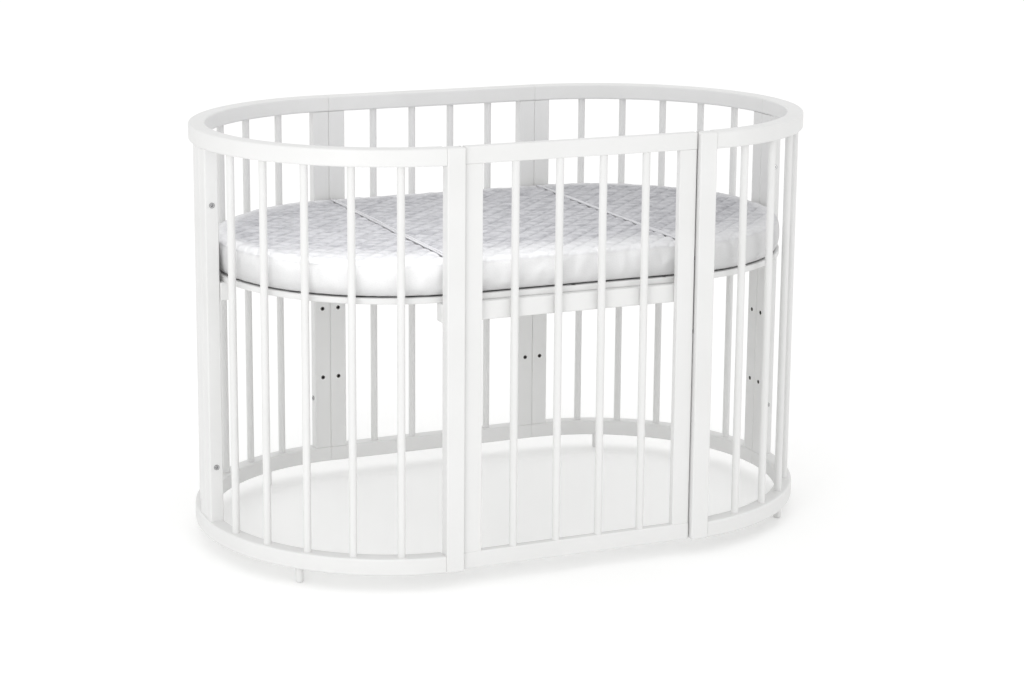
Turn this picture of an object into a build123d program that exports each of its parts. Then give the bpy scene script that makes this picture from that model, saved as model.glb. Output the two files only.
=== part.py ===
from build123d import *
import os
from math import cos, radians, sin

# Oval slatted crib. Millimetres, +Z up, long axis along X, the lift-out front panel towards -Y.
# The origin is on the floor under the middle of the oval.

# ---- driving dimensions ---------------------------------------------------------------------
straight_length = 500.0        # straight run of the oval, between the two half-round ends
end_radius = 410.0             # outer radius of the half-round ends
frame_height = 836.0           # underside of the bottom rails to the top of the top rails
foot_height = 33.0             # the frame stands this far off the floor

rail_depth = 34.0              # rail section, across the wall
rail_height = 34.0
rail_round = 4.0               # rounding along the rails
rail_end_round = 1.4           # small rounding where two rails meet

stile_width = 37.0             # uprights at the panel ends
stile_depth = 28.0
stile_round = 3.0
stile_set_in = 6.0             # outer face of a stile behind the outer face of the rail

post_width = 37.0              # the two full-height front posts
post_depth = 28.0
post_round = 3.0

spindle_diameter = 15.5
tenon_diameter = 10.0
tenon_length = 14.0
quarter_spindle_count = 5
quarter_spindle_margin = 17.5  # degrees from the panel end to its first spindle
straight_spindle_count = 4
straight_spindle_margin = 73.5 # from the inner edge of the stile to the first spindle

door_set_in = 10.0             # front panel behind the faces of the posts
door_depth = 17.5
door_side_gap = 3.0
door_round = 2.0
door_stile_depth = 15.5
pin_diameter = 8.0
pin_heights = (432.0, 582.0)   # guide pins, above the underside of the frame
pin_reach = 8.0                # past the side of the front panel
pin_bury = 14.0                # inside the stile of the front panel
groove_depth = 7.0
groove_clearance = 0.3

foot_diameter = 16.0
foot_stem_diameter = 10.0
foot_stem_length = 14.0
foot_inset = 21.0              # middle of a foot, in from the outer face of the curved rails
front_foot_angle = 48.0        # degrees round from the front seam of a front quarter
back_foot_angle = 24.0         # degrees round from the back seam of a back quarter
foot_edge = 1.5

dowel_diameter = 8.0
dowel_length = 30.0

bolt_diameter = 6.0            # connecting bolts between neighbouring panels
bolt_head_diameter = 11.0
bolt_head_height = 2.0
hex_key_flats = 4.0
hex_key_depth = 1.5
nut_barrel_diameter = 8.0
nut_barrel_length = 34.0
nut_engagement = 20.0          # bolt inside the nut
joint_bolt_inset = 148.0       # bolt lines in from both ends of the frame height

lowest_level = 198.0           # threaded rows that carry the base, above the frame's underside
level_pitch = 159.0
level_count = 3
insert_diameter = 9.0
insert_bore = 6.2
insert_length = 12.0

beam_height = 37.0
beam_thickness = 28.0
beam_above_level = 14.0        # top of a beam above the row that it is bolted to
beam_round = 3.0
beam_clearance = 0.5           # beams clear the stiles and posts that they slide along
base_bolt_head_diameter = 13.0
base_bolt_head_height = 3.0

board_thickness = 12.0
board_gap = 8.0                 # base boards inside the stiles
board_round = 2.0
board_joint_gap = 1.0
vent_diameter = 20.0
vent_pitch = 80.0
vent_ring_spacing = 85.0
vent_margin = 60.0             # solid border round the ventilation holes

screw_diameter = 4.0
screw_head_diameter = 8.0
screw_length = 30.0
screw_line = 20.0               # screws in from the outer face of a beam
end_screw_inset = 9.0          # screws in from the straight edge of an end board
middle_screw_pitch = 200.0
cleat_screw_offset = 30.0

mattress_height = 70.0
mattress_gap = 11.0            # mattress inside the stiles
mattress_joint_gap = 1.2
mattress_round = 8.0
mattress_rest_gap = 0.3        # above the base boards

fit_clearance = 0.05           # round a dowel, tenon, insert, screw or bolt in its hole

# ---- derived places -------------------------------------------------------------------------
half_straight = straight_length / 2
rail_radius = end_radius - rail_depth / 2
foot_pitch_radius = end_radius - foot_inset
stile_inner = end_radius - stile_set_in - stile_depth
stile_radius = stile_inner + stile_depth / 2
frame_low = foot_height
frame_top = foot_height + frame_height
rail_top_low = frame_top - rail_height
between_rails = frame_height - 2 * rail_height
bottom_rail_top = frame_low + rail_height
spindle_run = straight_length - 2 * stile_width - 2 * straight_spindle_margin
spindle_pitch = spindle_run / (straight_spindle_count - 1)
spindle_step = (90 - 2 * quarter_spindle_margin) / (quarter_spindle_count - 1)
post_inner = end_radius - post_depth
post_x = half_straight + post_width / 2
door_y = -(end_radius - door_set_in - door_depth / 2)
door_half = half_straight - door_side_gap
levels = [frame_low + lowest_level + level_pitch * i for i in range(level_count)]
joint_heights = (frame_low + joint_bolt_inset, frame_top - joint_bolt_inset)
beam_top = levels[-1] + beam_above_level
beam_mid = beam_top - beam_height / 2
board_radius = stile_inner - board_gap
board_top = beam_top + board_thickness
front_beam_face = -(post_inner - beam_clearance)
back_beam_face = stile_inner - beam_clearance
vent_columns = 1 + int((straight_length - 2 * vent_margin) / vent_pitch)
vent_rows = 1 + int(2 * (board_radius - vent_margin) / vent_pitch)
vent_rings = int((board_radius - vent_margin) / vent_ring_spacing)
mattress_radius = stile_inner - mattress_gap
mattress_low = board_top + mattress_rest_gap

os.makedirs("parts", exist_ok=True)


def save(builder, name):
    builder.part.label = name
    export_step(builder.part, f"parts/{name}.step")


def polar(side_x, side_y, radius, angle):
    """A point of a quarter, with the angle counted from its straight seam towards its end."""
    turn = radians(angle)
    return side_x * (half_straight + radius * sin(turn)), side_y * radius * cos(turn)


def quarter_spindle_points(side_x, side_y):
    angles = [quarter_spindle_margin + spindle_step * i for i in range(quarter_spindle_count)]
    return [polar(side_x, side_y, rail_radius, angle) for angle in angles]


def straight_spindle_points(y):
    middle = (straight_spindle_count - 1) / 2
    return [((i - middle) * spindle_pitch, y) for i in range(straight_spindle_count)]


def upright(points, z):
    return [Plane(origin=(x, y, z), z_dir=(0, 0, 1)) for x, y in points]


def hanging(points, z):
    return [Plane(origin=(x, y, z), z_dir=(0, 0, -1)) for x, y in points]


def end_stile_place(side_x, side_y):
    return side_x * (half_straight + stile_radius), side_y * stile_width / 2


def back_stile_place(side_x):
    return side_x * (half_straight + stile_width / 2), stile_radius


def panel_stile_place(side_x):
    return side_x * (half_straight - stile_width / 2), stile_radius


def door_stile_place(side_x):
    return side_x * (door_half - stile_width / 2), door_y


# ---- pieces that several panels share -------------------------------------------------------
def drill_rail(is_top, spindle_points, dowel_points):
    """Blind holes in the face of a rail that looks at the other rail."""
    planes = hanging if is_top else upright
    z = rail_top_low if is_top else bottom_rail_top
    with Locations(*planes(spindle_points, z)):
        Hole(tenon_diameter / 2 + fit_clearance, tenon_length + fit_clearance)
    with Locations(*planes(dowel_points, z)):
        Hole(dowel_diameter / 2 + fit_clearance, dowel_length / 2)


def make_quarter_rail(name, side_x, side_y, is_top):
    is_front = side_y < 0
    z = rail_top_low if is_top else frame_low
    start = Plane(origin=(side_x * half_straight, 0, z), x_dir=(side_x, 0, 0), z_dir=(0, -side_x, 0))
    with BuildPart() as rail:
        with BuildSketch(start):
            with Locations((rail_radius, rail_height / 2)):
                RectangleRounded(rail_depth, rail_height, rail_round)
        centre = Axis((side_x * half_straight, 0, 0), (0, 0, side_x * side_y))
        revolve(axis=centre, revolution_arc=90)
        if is_front:
            post_side = Plane(origin=(side_x * (half_straight + post_width), 0, 0), z_dir=(side_x, 0, 0))
            split(bisect_by=post_side, keep=Keep.TOP)
        ends = rail.faces().filter_by(Axis.X) + rail.faces().filter_by(Axis.Y)
        fillet(ends.edges(), rail_end_round)
        stiles = [end_stile_place(side_x, side_y)]
        if not is_front:
            stiles.append(back_stile_place(side_x))
        drill_rail(is_top, quarter_spindle_points(side_x, side_y), stiles)
        if is_front:
            with Locations(*rail_dowel_planes(side_x, z + rail_height / 2)):
                Hole(dowel_diameter / 2 + fit_clearance, dowel_length / 2)
        if not is_top:
            angle = front_foot_angle if is_front else back_foot_angle
            foot = polar(side_x, side_y, foot_pitch_radius, angle)
            with Locations(*hanging([foot], frame_low)):
                Hole(foot_stem_diameter / 2 + fit_clearance, foot_stem_length)
    save(rail, name)


def rail_dowel_planes(side_x, z):
    """Where the sideways dowel enters the end of a front rail, looking out of that end."""
    x = side_x * (half_straight + post_width)
    y = -(end_radius - post_depth / 2)
    return [Plane(origin=(x, y, z), z_dir=(-side_x, 0, 0))]


def make_stile(name, place, size, inner_face, inner_direction, bolt_axis, barrel_side):
    """An upright between the rails. Its bolts run along bolt_axis; barrel_side takes the nut.

    Gives back the mouths of its threaded rows, on inner_face.
    """
    x, y = place
    rows = insert_planes(place, inner_face, inner_direction)
    bolt_hole = nut_barrel_diameter / 2 if barrel_side else bolt_diameter / 2
    with BuildPart() as stile:
        with Locations((x, y, bottom_rail_top)):
            Box(size[0], size[1], between_rails, align=(Align.CENTER, Align.CENTER, Align.MIN))
        fillet(stile.edges().filter_by(Axis.Z), stile_round)
        with Locations(*upright([place], rail_top_low), *hanging([place], bottom_rail_top)):
            Hole(dowel_diameter / 2 + fit_clearance, dowel_length / 2)
        with Locations(*rows):
            Hole(insert_diameter / 2 + fit_clearance, insert_length)
        with Locations(*[Plane(origin=(x, y, z), z_dir=bolt_axis) for z in joint_heights]):
            Hole(bolt_hole + fit_clearance)
    save(stile, name)
    return rows


def insert_planes(place, face, direction):
    """Mouths of the threaded rows on an inner face, each looking into the crib."""
    x, y = place
    planes = []
    for z in levels:
        origin = (face, y, z) if direction[0] else (x, face, z)
        planes.append(Plane(origin=origin, z_dir=direction))
    return planes


def make_spindles(name, points):
    with BuildPart() as spindles:
        with Locations(*upright(points, bottom_rail_top)):
            Cylinder(spindle_diameter / 2, between_rails, align=(Align.CENTER, Align.CENTER, Align.MIN))
        with Locations(*upright(points, bottom_rail_top - tenon_length)):
            Cylinder(tenon_diameter / 2, between_rails + 2 * tenon_length,
                     align=(Align.CENTER, Align.CENTER, Align.MIN))
    save(spindles, name)


def make_straight_rail(name, length, y, depth, rounding, is_top, spindle_points, dowel_points):
    z = rail_top_low if is_top else frame_low
    with BuildPart() as rail:
        with Locations((0, y, z + rail_height / 2)):
            Box(length, depth, rail_height)
        fillet(rail.edges().filter_by(Axis.X), rounding)
        fillet(rail.faces().filter_by(Axis.X).edges(), rail_end_round)
        drill_rail(is_top, spindle_points, dowel_points)
    save(rail, name)


# ---- quarter panels -------------------------------------------------------------------------
quarters = {"front_left": (-1, -1), "back_left": (-1, 1), "back_right": (1, 1), "front_right": (1, -1)}
insert_rows = []

for quarter, (side_x, side_y) in quarters.items():
    make_quarter_rail(f"{quarter}_top_rail", side_x, side_y, True)
    make_quarter_rail(f"{quarter}_bottom_rail", side_x, side_y, False)
    make_spindles(f"{quarter}_spindles", quarter_spindle_points(side_x, side_y))
    end_place = end_stile_place(side_x, side_y)
    end_face = side_x * (half_straight + stile_inner)
    insert_rows += make_stile(f"{quarter}_end_stile", end_place, (stile_depth, stile_width), end_face,
                              (-side_x, 0, 0), (0, 1, 0), side_y > 0)
    if side_y > 0:
        back_place = back_stile_place(side_x)
        insert_rows += make_stile(f"{quarter}_back_stile", back_place, (stile_width, stile_depth),
                                  stile_inner, (0, -1, 0), (1, 0, 0), False)


# ---- front posts, with the grooves that guide the front panel -------------------------------
def make_post(name, side_x):
    place = (side_x * post_x, -(end_radius - post_depth / 2))
    groove_low = frame_low + pin_heights[0] - pin_diameter / 2 - groove_clearance
    groove_width = pin_diameter + 2 * groove_clearance
    with BuildPart() as post:
        with Locations((*place, frame_low)):
            Box(post_width, post_depth, frame_height, align=(Align.CENTER, Align.CENTER, Align.MIN))
        fillet(post.edges(), post_round)
        with Locations((side_x * half_straight, door_y, groove_low)):
            Box(2 * groove_depth, groove_width, frame_height,
                align=(Align.CENTER, Align.CENTER, Align.MIN), mode=Mode.SUBTRACT)
        with Locations(*insert_planes(place, -post_inner, (0, 1, 0))):
            Hole(insert_diameter / 2 + fit_clearance, insert_length)
        sides = []
        for z in (frame_low + rail_height / 2, frame_top - rail_height / 2):
            sides += [Plane(origin=p.origin, z_dir=(side_x, 0, 0)) for p in rail_dowel_planes(side_x, z)]
        with Locations(*sides):
            Hole(dowel_diameter / 2 + fit_clearance, dowel_length / 2)
    save(post, name)
    return insert_planes(place, -post_inner, (0, 1, 0))


insert_rows += make_post("front_left_post", -1)
insert_rows += make_post("front_right_post", 1)

# ---- straight back panel --------------------------------------------------------------------
back_points = straight_spindle_points(rail_radius)
back_stiles = [panel_stile_place(-1), panel_stile_place(1)]
make_straight_rail("back_panel_top_rail", straight_length, rail_radius, rail_depth, rail_round,
                   True, back_points, back_stiles)
make_straight_rail("back_panel_bottom_rail", straight_length, rail_radius, rail_depth, rail_round,
                   False, back_points, back_stiles)
make_spindles("back_panel_spindles", back_points)
for side, side_x in (("left", -1), ("right", 1)):
    insert_rows += make_stile(f"back_panel_{side}_stile", panel_stile_place(side_x),
                              (stile_width, stile_depth), stile_inner, (0, -1, 0), (1, 0, 0), True)

# ---- threaded inserts for the base ----------------------------------------------------------
with BuildPart() as height_inserts:
    with Locations(*insert_rows):
        Cylinder(insert_diameter / 2, insert_length, align=(Align.CENTER, Align.CENTER, Align.MAX))
    with Locations(*insert_rows):
        Cylinder(insert_bore / 2, insert_length, align=(Align.CENTER, Align.CENTER, Align.MAX),
                 mode=Mode.SUBTRACT)
save(height_inserts, "height_inserts")

# ---- connecting bolts and their sleeve nuts -------------------------------------------------
# Each seam is given by the point where its bolt line crosses it, and the way that the head looks.
seams = []
for side_x in (-1, 1):
    seams.append(((side_x * (half_straight + stile_radius), 0), (0, -1, 0)))
    seams.append(((side_x * half_straight, stile_radius), (side_x, 0, 0)))


def seam_planes(sign):
    """Outer faces of the two stiles at every seam, on the head's side (1) or the nut's (-1)."""
    planes = []
    for (x, y), way in seams:
        for z in joint_heights:
            reach = sign * stile_width
            origin = (x + reach * way[0], y + reach * way[1], z)
            planes.append(Plane(origin=origin, z_dir=(sign * way[0], sign * way[1], 0)))
    return planes


head_planes = seam_planes(1)
nut_planes = seam_planes(-1)
bolt_length = 2 * stile_width - nut_barrel_length + nut_engagement

with BuildPart() as joint_bolts:
    with Locations(*head_planes):
        Cylinder(bolt_head_diameter / 2, bolt_head_height, align=(Align.CENTER, Align.CENTER, Align.MIN))
    with Locations(*head_planes):
        Cylinder(bolt_diameter / 2, bolt_length, align=(Align.CENTER, Align.CENTER, Align.MAX))
    for plane in head_planes:
        with BuildSketch(plane.offset(bolt_head_height)):
            RegularPolygon(hex_key_flats / 2, 6, major_radius=False)
        extrude(amount=-hex_key_depth, mode=Mode.SUBTRACT)
save(joint_bolts, "joint_bolts")

with BuildPart() as joint_nuts:
    with Locations(*nut_planes):
        Cylinder(bolt_head_diameter / 2, bolt_head_height, align=(Align.CENTER, Align.CENTER, Align.MIN))
    with Locations(*nut_planes):
        Cylinder(nut_barrel_diameter / 2, nut_barrel_length, align=(Align.CENTER, Align.CENTER, Align.MAX))
    with Locations(*[plane.offset(-nut_barrel_length) for plane in nut_planes]):
        Cylinder(bolt_diameter / 2 + fit_clearance, nut_engagement + hex_key_depth,
                 align=(Align.CENTER, Align.CENTER, Align.MIN), mode=Mode.SUBTRACT)
    for plane in nut_planes:
        with BuildSketch(plane.offset(bolt_head_height)):
            RegularPolygon(hex_key_flats / 2, 6, major_radius=False)
        extrude(amount=-hex_key_depth, mode=Mode.SUBTRACT)
save(joint_nuts, "joint_nuts")

# ---- dowels of the frame --------------------------------------------------------------------
frame_stile_places = [end_stile_place(*sides) for sides in quarters.values()]
frame_stile_places += [back_stile_place(-1), back_stile_place(1), *back_stiles]
with BuildPart() as frame_dowels:
    for z in (bottom_rail_top, rail_top_low):
        with Locations(*upright(frame_stile_places, z)):
            Cylinder(dowel_diameter / 2, dowel_length)
    for z in (frame_low + rail_height / 2, frame_top - rail_height / 2):
        with Locations(*rail_dowel_planes(-1, z), *rail_dowel_planes(1, z)):
            Cylinder(dowel_diameter / 2, dowel_length)
save(frame_dowels, "frame_dowels")

# ---- feet -----------------------------------------------------------------------------------
foot_places = [polar(side_x, -1, foot_pitch_radius, front_foot_angle) for side_x in (-1, 1)]
foot_places += [polar(side_x, 1, foot_pitch_radius, back_foot_angle) for side_x in (-1, 1)]
with BuildPart() as feet:
    with Locations(*upright(foot_places, 0)):
        Cylinder(foot_diameter / 2, foot_height, align=(Align.CENTER, Align.CENTER, Align.MIN))
    chamfer(feet.edges().group_by(Axis.Z)[0], foot_edge)
    with Locations(*upright(foot_places, foot_height)):
        Cylinder(foot_stem_diameter / 2, foot_stem_length, align=(Align.CENTER, Align.CENTER, Align.MIN))
save(feet, "feet")

# ---- lift-out front panel -------------------------------------------------------------------
door_points = straight_spindle_points(door_y)
door_stiles = [door_stile_place(-1), door_stile_place(1)]
make_straight_rail("front_panel_top_rail", 2 * door_half, door_y, door_depth, door_round,
                   True, door_points, door_stiles)
make_straight_rail("front_panel_bottom_rail", 2 * door_half, door_y, door_depth, door_round,
                   False, door_points, door_stiles)
make_spindles("front_panel_spindles", door_points)

for side, side_x in (("left", -1), ("right", 1)):
    place = door_stile_place(side_x)
    with BuildPart() as door_stile:
        with Locations((*place, bottom_rail_top)):
            Box(stile_width, door_stile_depth, between_rails, align=(Align.CENTER, Align.CENTER, Align.MIN))
        fillet(door_stile.edges().filter_by(Axis.Z), door_round)
        with Locations(*upright([place], rail_top_low), *hanging([place], bottom_rail_top)):
            Hole(dowel_diameter / 2 + fit_clearance, dowel_length / 2)
        pin_mouths = [Plane(origin=(side_x * door_half, door_y, frame_low + height), z_dir=(side_x, 0, 0))
                      for height in pin_heights]
        with Locations(*pin_mouths):
            Hole(pin_diameter / 2 + fit_clearance, pin_bury)
    save(door_stile, f"front_panel_{side}_stile")

with BuildPart() as front_panel_pins:
    for side_x in (-1, 1):
        for height in pin_heights:
            mouth = Plane(origin=(side_x * door_half, door_y, frame_low + height), z_dir=(side_x, 0, 0))
            with Locations(mouth.offset(-pin_bury)):
                Cylinder(pin_diameter / 2, pin_bury + pin_reach,
                         align=(Align.CENTER, Align.CENTER, Align.MIN))
save(front_panel_pins, "front_panel_pins")

with BuildPart() as front_panel_dowels:
    for z in (bottom_rail_top, rail_top_low):
        with Locations(*upright(door_stiles, z)):
            Cylinder(dowel_diameter / 2, dowel_length)
save(front_panel_dowels, "front_panel_dowels")

# ---- base: beams and end cleats under three boards ------------------------------------------
beam_length = straight_length + 2 * post_width
cleat_face = half_straight + stile_inner - beam_clearance
front_screw_y = front_beam_face + screw_line
back_screw_y = back_beam_face - screw_line
cleat_screw_x = cleat_face - screw_line
middle_screws = [(i * middle_screw_pitch, y) for i in (-1, 0, 1) for y in (front_screw_y, back_screw_y)]
screw_points = {"middle": middle_screws}
for side, side_x in (("left", -1), ("right", 1)):
    corner_x = side_x * (half_straight + end_screw_inset)
    screw_points[side] = [(corner_x, front_screw_y), (corner_x, back_screw_y)]
    screw_points[side] += [(side_x * cleat_screw_x, -cleat_screw_offset)]
    screw_points[side] += [(side_x * cleat_screw_x, cleat_screw_offset)]


def make_beam(name, centre, size, bolt_planes, pilot_points):
    with BuildPart() as beam:
        with Locations((*centre, beam_mid)):
            Box(size[0], size[1], beam_height)
        fillet(beam.edges(), beam_round)
        with Locations(*bolt_planes):
            Hole(bolt_diameter / 2 + fit_clearance)
        with Locations(*upright(pilot_points, beam_top)):
            Hole(screw_diameter / 2 + fit_clearance, screw_length - board_thickness)
    save(beam, name)


# Bolt heads sit on the faces of the beams that look into the crib.
bolt_level = levels[-1]
front_bolt_y = front_beam_face + beam_thickness
front_bolts = [Plane(origin=(side_x * post_x, front_bolt_y, bolt_level), z_dir=(0, 1, 0))
               for side_x in (-1, 1)]
back_bolt_x = half_straight + stile_width / 2
back_bolt_y = back_beam_face - beam_thickness
back_bolts = [Plane(origin=(side_x * back_bolt_x, back_bolt_y, bolt_level), z_dir=(0, -1, 0))
              for side_x in (-1, 1)]
cleat_bolts = {}
for side_x in (-1, 1):
    x = side_x * (cleat_face - beam_thickness)
    cleat_bolts[side_x] = [Plane(origin=(x, side_y * stile_width / 2, bolt_level), z_dir=(-side_x, 0, 0))
                           for side_y in (-1, 1)]

front_pilots = [p for points in screw_points.values() for p in points if p[1] == front_screw_y]
back_pilots = [p for points in screw_points.values() for p in points if p[1] == back_screw_y]
make_beam("front_beam", (0, front_beam_face + beam_thickness / 2), (beam_length, beam_thickness),
          front_bolts, front_pilots)
make_beam("back_beam", (0, back_beam_face - beam_thickness / 2), (beam_length, beam_thickness),
          back_bolts, back_pilots)
for side, side_x in (("left", -1), ("right", 1)):
    centre = (side_x * (cleat_face - beam_thickness / 2), 0)
    make_beam(f"{side}_end_cleat", centre, (beam_thickness, 2 * stile_width),
              cleat_bolts[side_x], screw_points[side][2:])

base_bolt_planes = front_bolts + back_bolts + cleat_bolts[-1] + cleat_bolts[1]
with BuildPart() as base_bolts:
    with Locations(*base_bolt_planes):
        Cylinder(base_bolt_head_diameter / 2, base_bolt_head_height,
                 align=(Align.CENTER, Align.CENTER, Align.MIN))
    with Locations(*base_bolt_planes):
        Cylinder(bolt_diameter / 2, beam_thickness, align=(Align.CENTER, Align.CENTER, Align.MAX))
    for plane in base_bolt_planes:
        with BuildSketch(plane.offset(base_bolt_head_height)):
            RegularPolygon(hex_key_flats / 2, 6, major_radius=False)
        extrude(amount=-hex_key_depth, mode=Mode.SUBTRACT)
save(base_bolts, "base_bolts")


def drill_board(points):
    with Locations(*upright(points, board_top)):
        CounterSinkHole(screw_diameter / 2 + fit_clearance, screw_head_diameter / 2 + fit_clearance)


with BuildPart() as middle_board:
    with Locations((0, 0, beam_top)):
        Box(straight_length - board_joint_gap, 2 * board_radius, board_thickness,
            align=(Align.CENTER, Align.CENTER, Align.MIN))
    fillet(middle_board.edges().filter_by(Axis.X), board_round)
    with Locations((0, 0, board_top)):
        with GridLocations(vent_pitch, vent_pitch, vent_columns, vent_rows):
            Hole(vent_diameter / 2, board_thickness)
    drill_board(screw_points["middle"])
save(middle_board, "middle_base_board")

for side, side_x in (("left", -1), ("right", 1)):
    flat_x = side_x * (half_straight + board_joint_gap / 2)
    with BuildPart() as end_board:
        with BuildSketch(Plane.XY.offset(beam_top)):
            with Locations((side_x * half_straight, 0)):
                Circle(board_radius)
            with Locations((flat_x - side_x * end_radius, 0)):
                Rectangle(2 * end_radius, 2 * end_radius, mode=Mode.SUBTRACT)
        extrude(amount=board_thickness)
        fillet(end_board.edges().filter_by(GeomType.CIRCLE), board_round)
        vents = []
        for ring in range(1, vent_rings + 1):
            steps = 2 * ring
            radius = ring * vent_ring_spacing
            vents += [polar(side_x, 1, radius, 180 * (i + 0.5) / steps) for i in range(steps)]
        with Locations(*upright(vents, board_top)):
            Hole(vent_diameter / 2, board_thickness)
        drill_board(screw_points[side])
    save(end_board, f"{side}_base_board")

all_screws = [point for points in screw_points.values() for point in points]
with BuildPart() as board_screws:
    with Locations(*upright(all_screws, board_top - screw_length)):
        Cylinder(screw_diameter / 2, screw_length, align=(Align.CENTER, Align.CENTER, Align.MIN))
    with Locations(*upright(all_screws, board_top - (screw_head_diameter - screw_diameter) / 2)):
        Cone(screw_diameter / 2, screw_head_diameter / 2, (screw_head_diameter - screw_diameter) / 2,
             align=(Align.CENTER, Align.CENTER, Align.MIN))
save(board_screws, "board_screws")

# ---- three-piece mattress -------------------------------------------------------------------
with BuildPart() as middle_mattress:
    with Locations((0, 0, mattress_low)):
        Box(straight_length - mattress_joint_gap, 2 * mattress_radius, mattress_height,
            align=(Align.CENTER, Align.CENTER, Align.MIN))
    fillet(middle_mattress.edges().filter_by(Axis.X), mattress_round)
save(middle_mattress, "mattress_middle")

for side, side_x in (("left", -1), ("right", 1)):
    flat_x = side_x * (half_straight + mattress_joint_gap / 2)
    with BuildPart() as end_mattress:
        with BuildSketch(Plane.XY.offset(mattress_low)):
            with Locations((side_x * half_straight, 0)):
                Circle(mattress_radius)
            with Locations((flat_x - side_x * end_radius, 0)):
                Rectangle(2 * end_radius, 2 * end_radius, mode=Mode.SUBTRACT)
        extrude(amount=mattress_height)
        fillet(end_mattress.edges().filter_by(GeomType.CIRCLE), mattress_round)
    save(end_mattress, f"mattress_{side}")
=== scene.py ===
from math import atan2, pi, radians, sin

import bmesh
import bpy
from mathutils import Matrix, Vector, noise


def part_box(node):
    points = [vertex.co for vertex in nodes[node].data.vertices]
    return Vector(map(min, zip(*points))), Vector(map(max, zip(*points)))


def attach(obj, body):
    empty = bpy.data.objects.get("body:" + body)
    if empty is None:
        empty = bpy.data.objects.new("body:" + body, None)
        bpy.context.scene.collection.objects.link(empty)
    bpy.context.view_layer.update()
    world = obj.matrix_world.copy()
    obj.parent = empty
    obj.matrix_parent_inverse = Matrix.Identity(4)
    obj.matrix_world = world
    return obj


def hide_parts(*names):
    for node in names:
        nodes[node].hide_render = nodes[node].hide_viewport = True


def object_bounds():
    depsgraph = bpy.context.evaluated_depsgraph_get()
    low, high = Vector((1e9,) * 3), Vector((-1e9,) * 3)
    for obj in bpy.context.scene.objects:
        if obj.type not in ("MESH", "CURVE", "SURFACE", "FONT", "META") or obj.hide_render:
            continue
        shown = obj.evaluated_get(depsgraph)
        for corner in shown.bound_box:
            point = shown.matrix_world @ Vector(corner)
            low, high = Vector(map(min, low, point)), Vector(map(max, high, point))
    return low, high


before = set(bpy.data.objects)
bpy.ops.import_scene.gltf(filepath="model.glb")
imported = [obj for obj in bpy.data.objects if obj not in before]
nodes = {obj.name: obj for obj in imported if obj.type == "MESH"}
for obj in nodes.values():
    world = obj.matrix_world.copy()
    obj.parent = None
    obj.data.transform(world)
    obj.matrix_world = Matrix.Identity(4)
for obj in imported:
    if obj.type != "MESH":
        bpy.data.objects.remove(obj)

cadBounds = [list(corner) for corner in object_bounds()]
scene = bpy.context.scene
scene.view_settings.view_transform = "Standard"
print("frame loaded,", len(nodes), "nodes")

# places that the rest is measured from
boxLow, boxHigh = (Vector(corner) for corner in cadBounds)
middle = (boxLow + boxHigh) / 2
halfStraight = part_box("back_panel_top_rail")[1].x


# camera and light
cameraValues = {
    "offset": (-1.8153, -4.1376, 1.0636),  # from the middle of the crib
    "turn": 21.56,
    "tilt": 10.99,
    "lens": 76.58,
    "sensor": 36.0,
    "shiftX": 0.0893,
    "shiftY": -0.1099,
    "farthest": 200.0,
}
lightValues = {
    "worldColor": (1.0, 1.0, 1.0),
    "worldStrength": 0.97,
    "backdrop": 1.0,         # how bright the studio looks where nothing stands
    "key": {"at": (-2.0, -2.2, 0.7), "size": 1.2, "watts": 15.0},
    "fill": {"at": (2.4, -2.8, 0.15), "size": 0.8, "watts": 4.5},
    # falls on the mattress alone, strongest at its front left
    "near": {"at": (-0.45, -0.5, 0.75), "size": 0.6, "aim": (-0.25, 0, 0.2), "watts": 4.3},
}


def makeCamera():
    data = bpy.data.cameras.new("camera")
    data.lens = cameraValues["lens"]
    data.sensor_width = cameraValues["sensor"]
    data.shift_x = cameraValues["shiftX"]
    data.shift_y = cameraValues["shiftY"]
    data.clip_end = cameraValues["farthest"]
    camera = bpy.data.objects.new("camera", data)
    scene.collection.objects.link(camera)
    camera.location = middle + Vector(cameraValues["offset"])
    camera.rotation_euler = (radians(90 - cameraValues["tilt"]), 0, radians(-cameraValues["turn"]))
    scene.camera = camera


def makeLight(name, values, only=None):
    data = bpy.data.lights.new(name, "AREA")
    data.shape = "DISK"
    data.size = values["size"]
    data.energy = values["watts"]
    light = bpy.data.objects.new(name, data)
    scene.collection.objects.link(light)
    light.location = middle + Vector(values["at"])
    aim = Vector(values.get("aim", (0, 0, 0)))
    light.rotation_euler = (aim - Vector(values["at"])).to_track_quat("-Z", "Y").to_euler()
    light.visible_camera = False
    if only is not None:
        light.light_linking.receiver_collection = only
        light.light_linking.blocker_collection = only


def makeWorld():
    world = bpy.data.worlds.new("studio")
    scene.world = world
    world.use_nodes = True
    tree = world.node_tree
    background = tree.nodes["Background"]
    background.inputs["Color"].default_value = (*lightValues["worldColor"], 1)
    path = tree.nodes.new("ShaderNodeLightPath")
    strength = tree.nodes.new("ShaderNodeMapRange")
    strength.inputs["To Min"].default_value = lightValues["worldStrength"]
    strength.inputs["To Max"].default_value = lightValues["backdrop"]
    tree.links.new(path.outputs["Is Camera Ray"], strength.inputs["Value"])
    tree.links.new(strength.outputs[0], background.inputs["Strength"])


def finishObject(bm, name, materials, smooth=True):
    mesh = bpy.data.meshes.new(name)
    bm.to_mesh(mesh)
    bm.free()
    for face in mesh.polygons:
        face.use_smooth = smooth
    for material in materials:
        mesh.materials.append(material)
    made = bpy.data.objects.new(name, mesh)
    scene.collection.objects.link(made)
    return made


makeCamera()
makeWorld()
makeLight("keyLight", lightValues["key"])
makeLight("fillLight", lightValues["fill"])
mattressGroup = bpy.data.collections.new("mattressPieces")
makeLight("nearLight", lightValues["near"], only=mattressGroup)
print("camera and lights")


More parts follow.
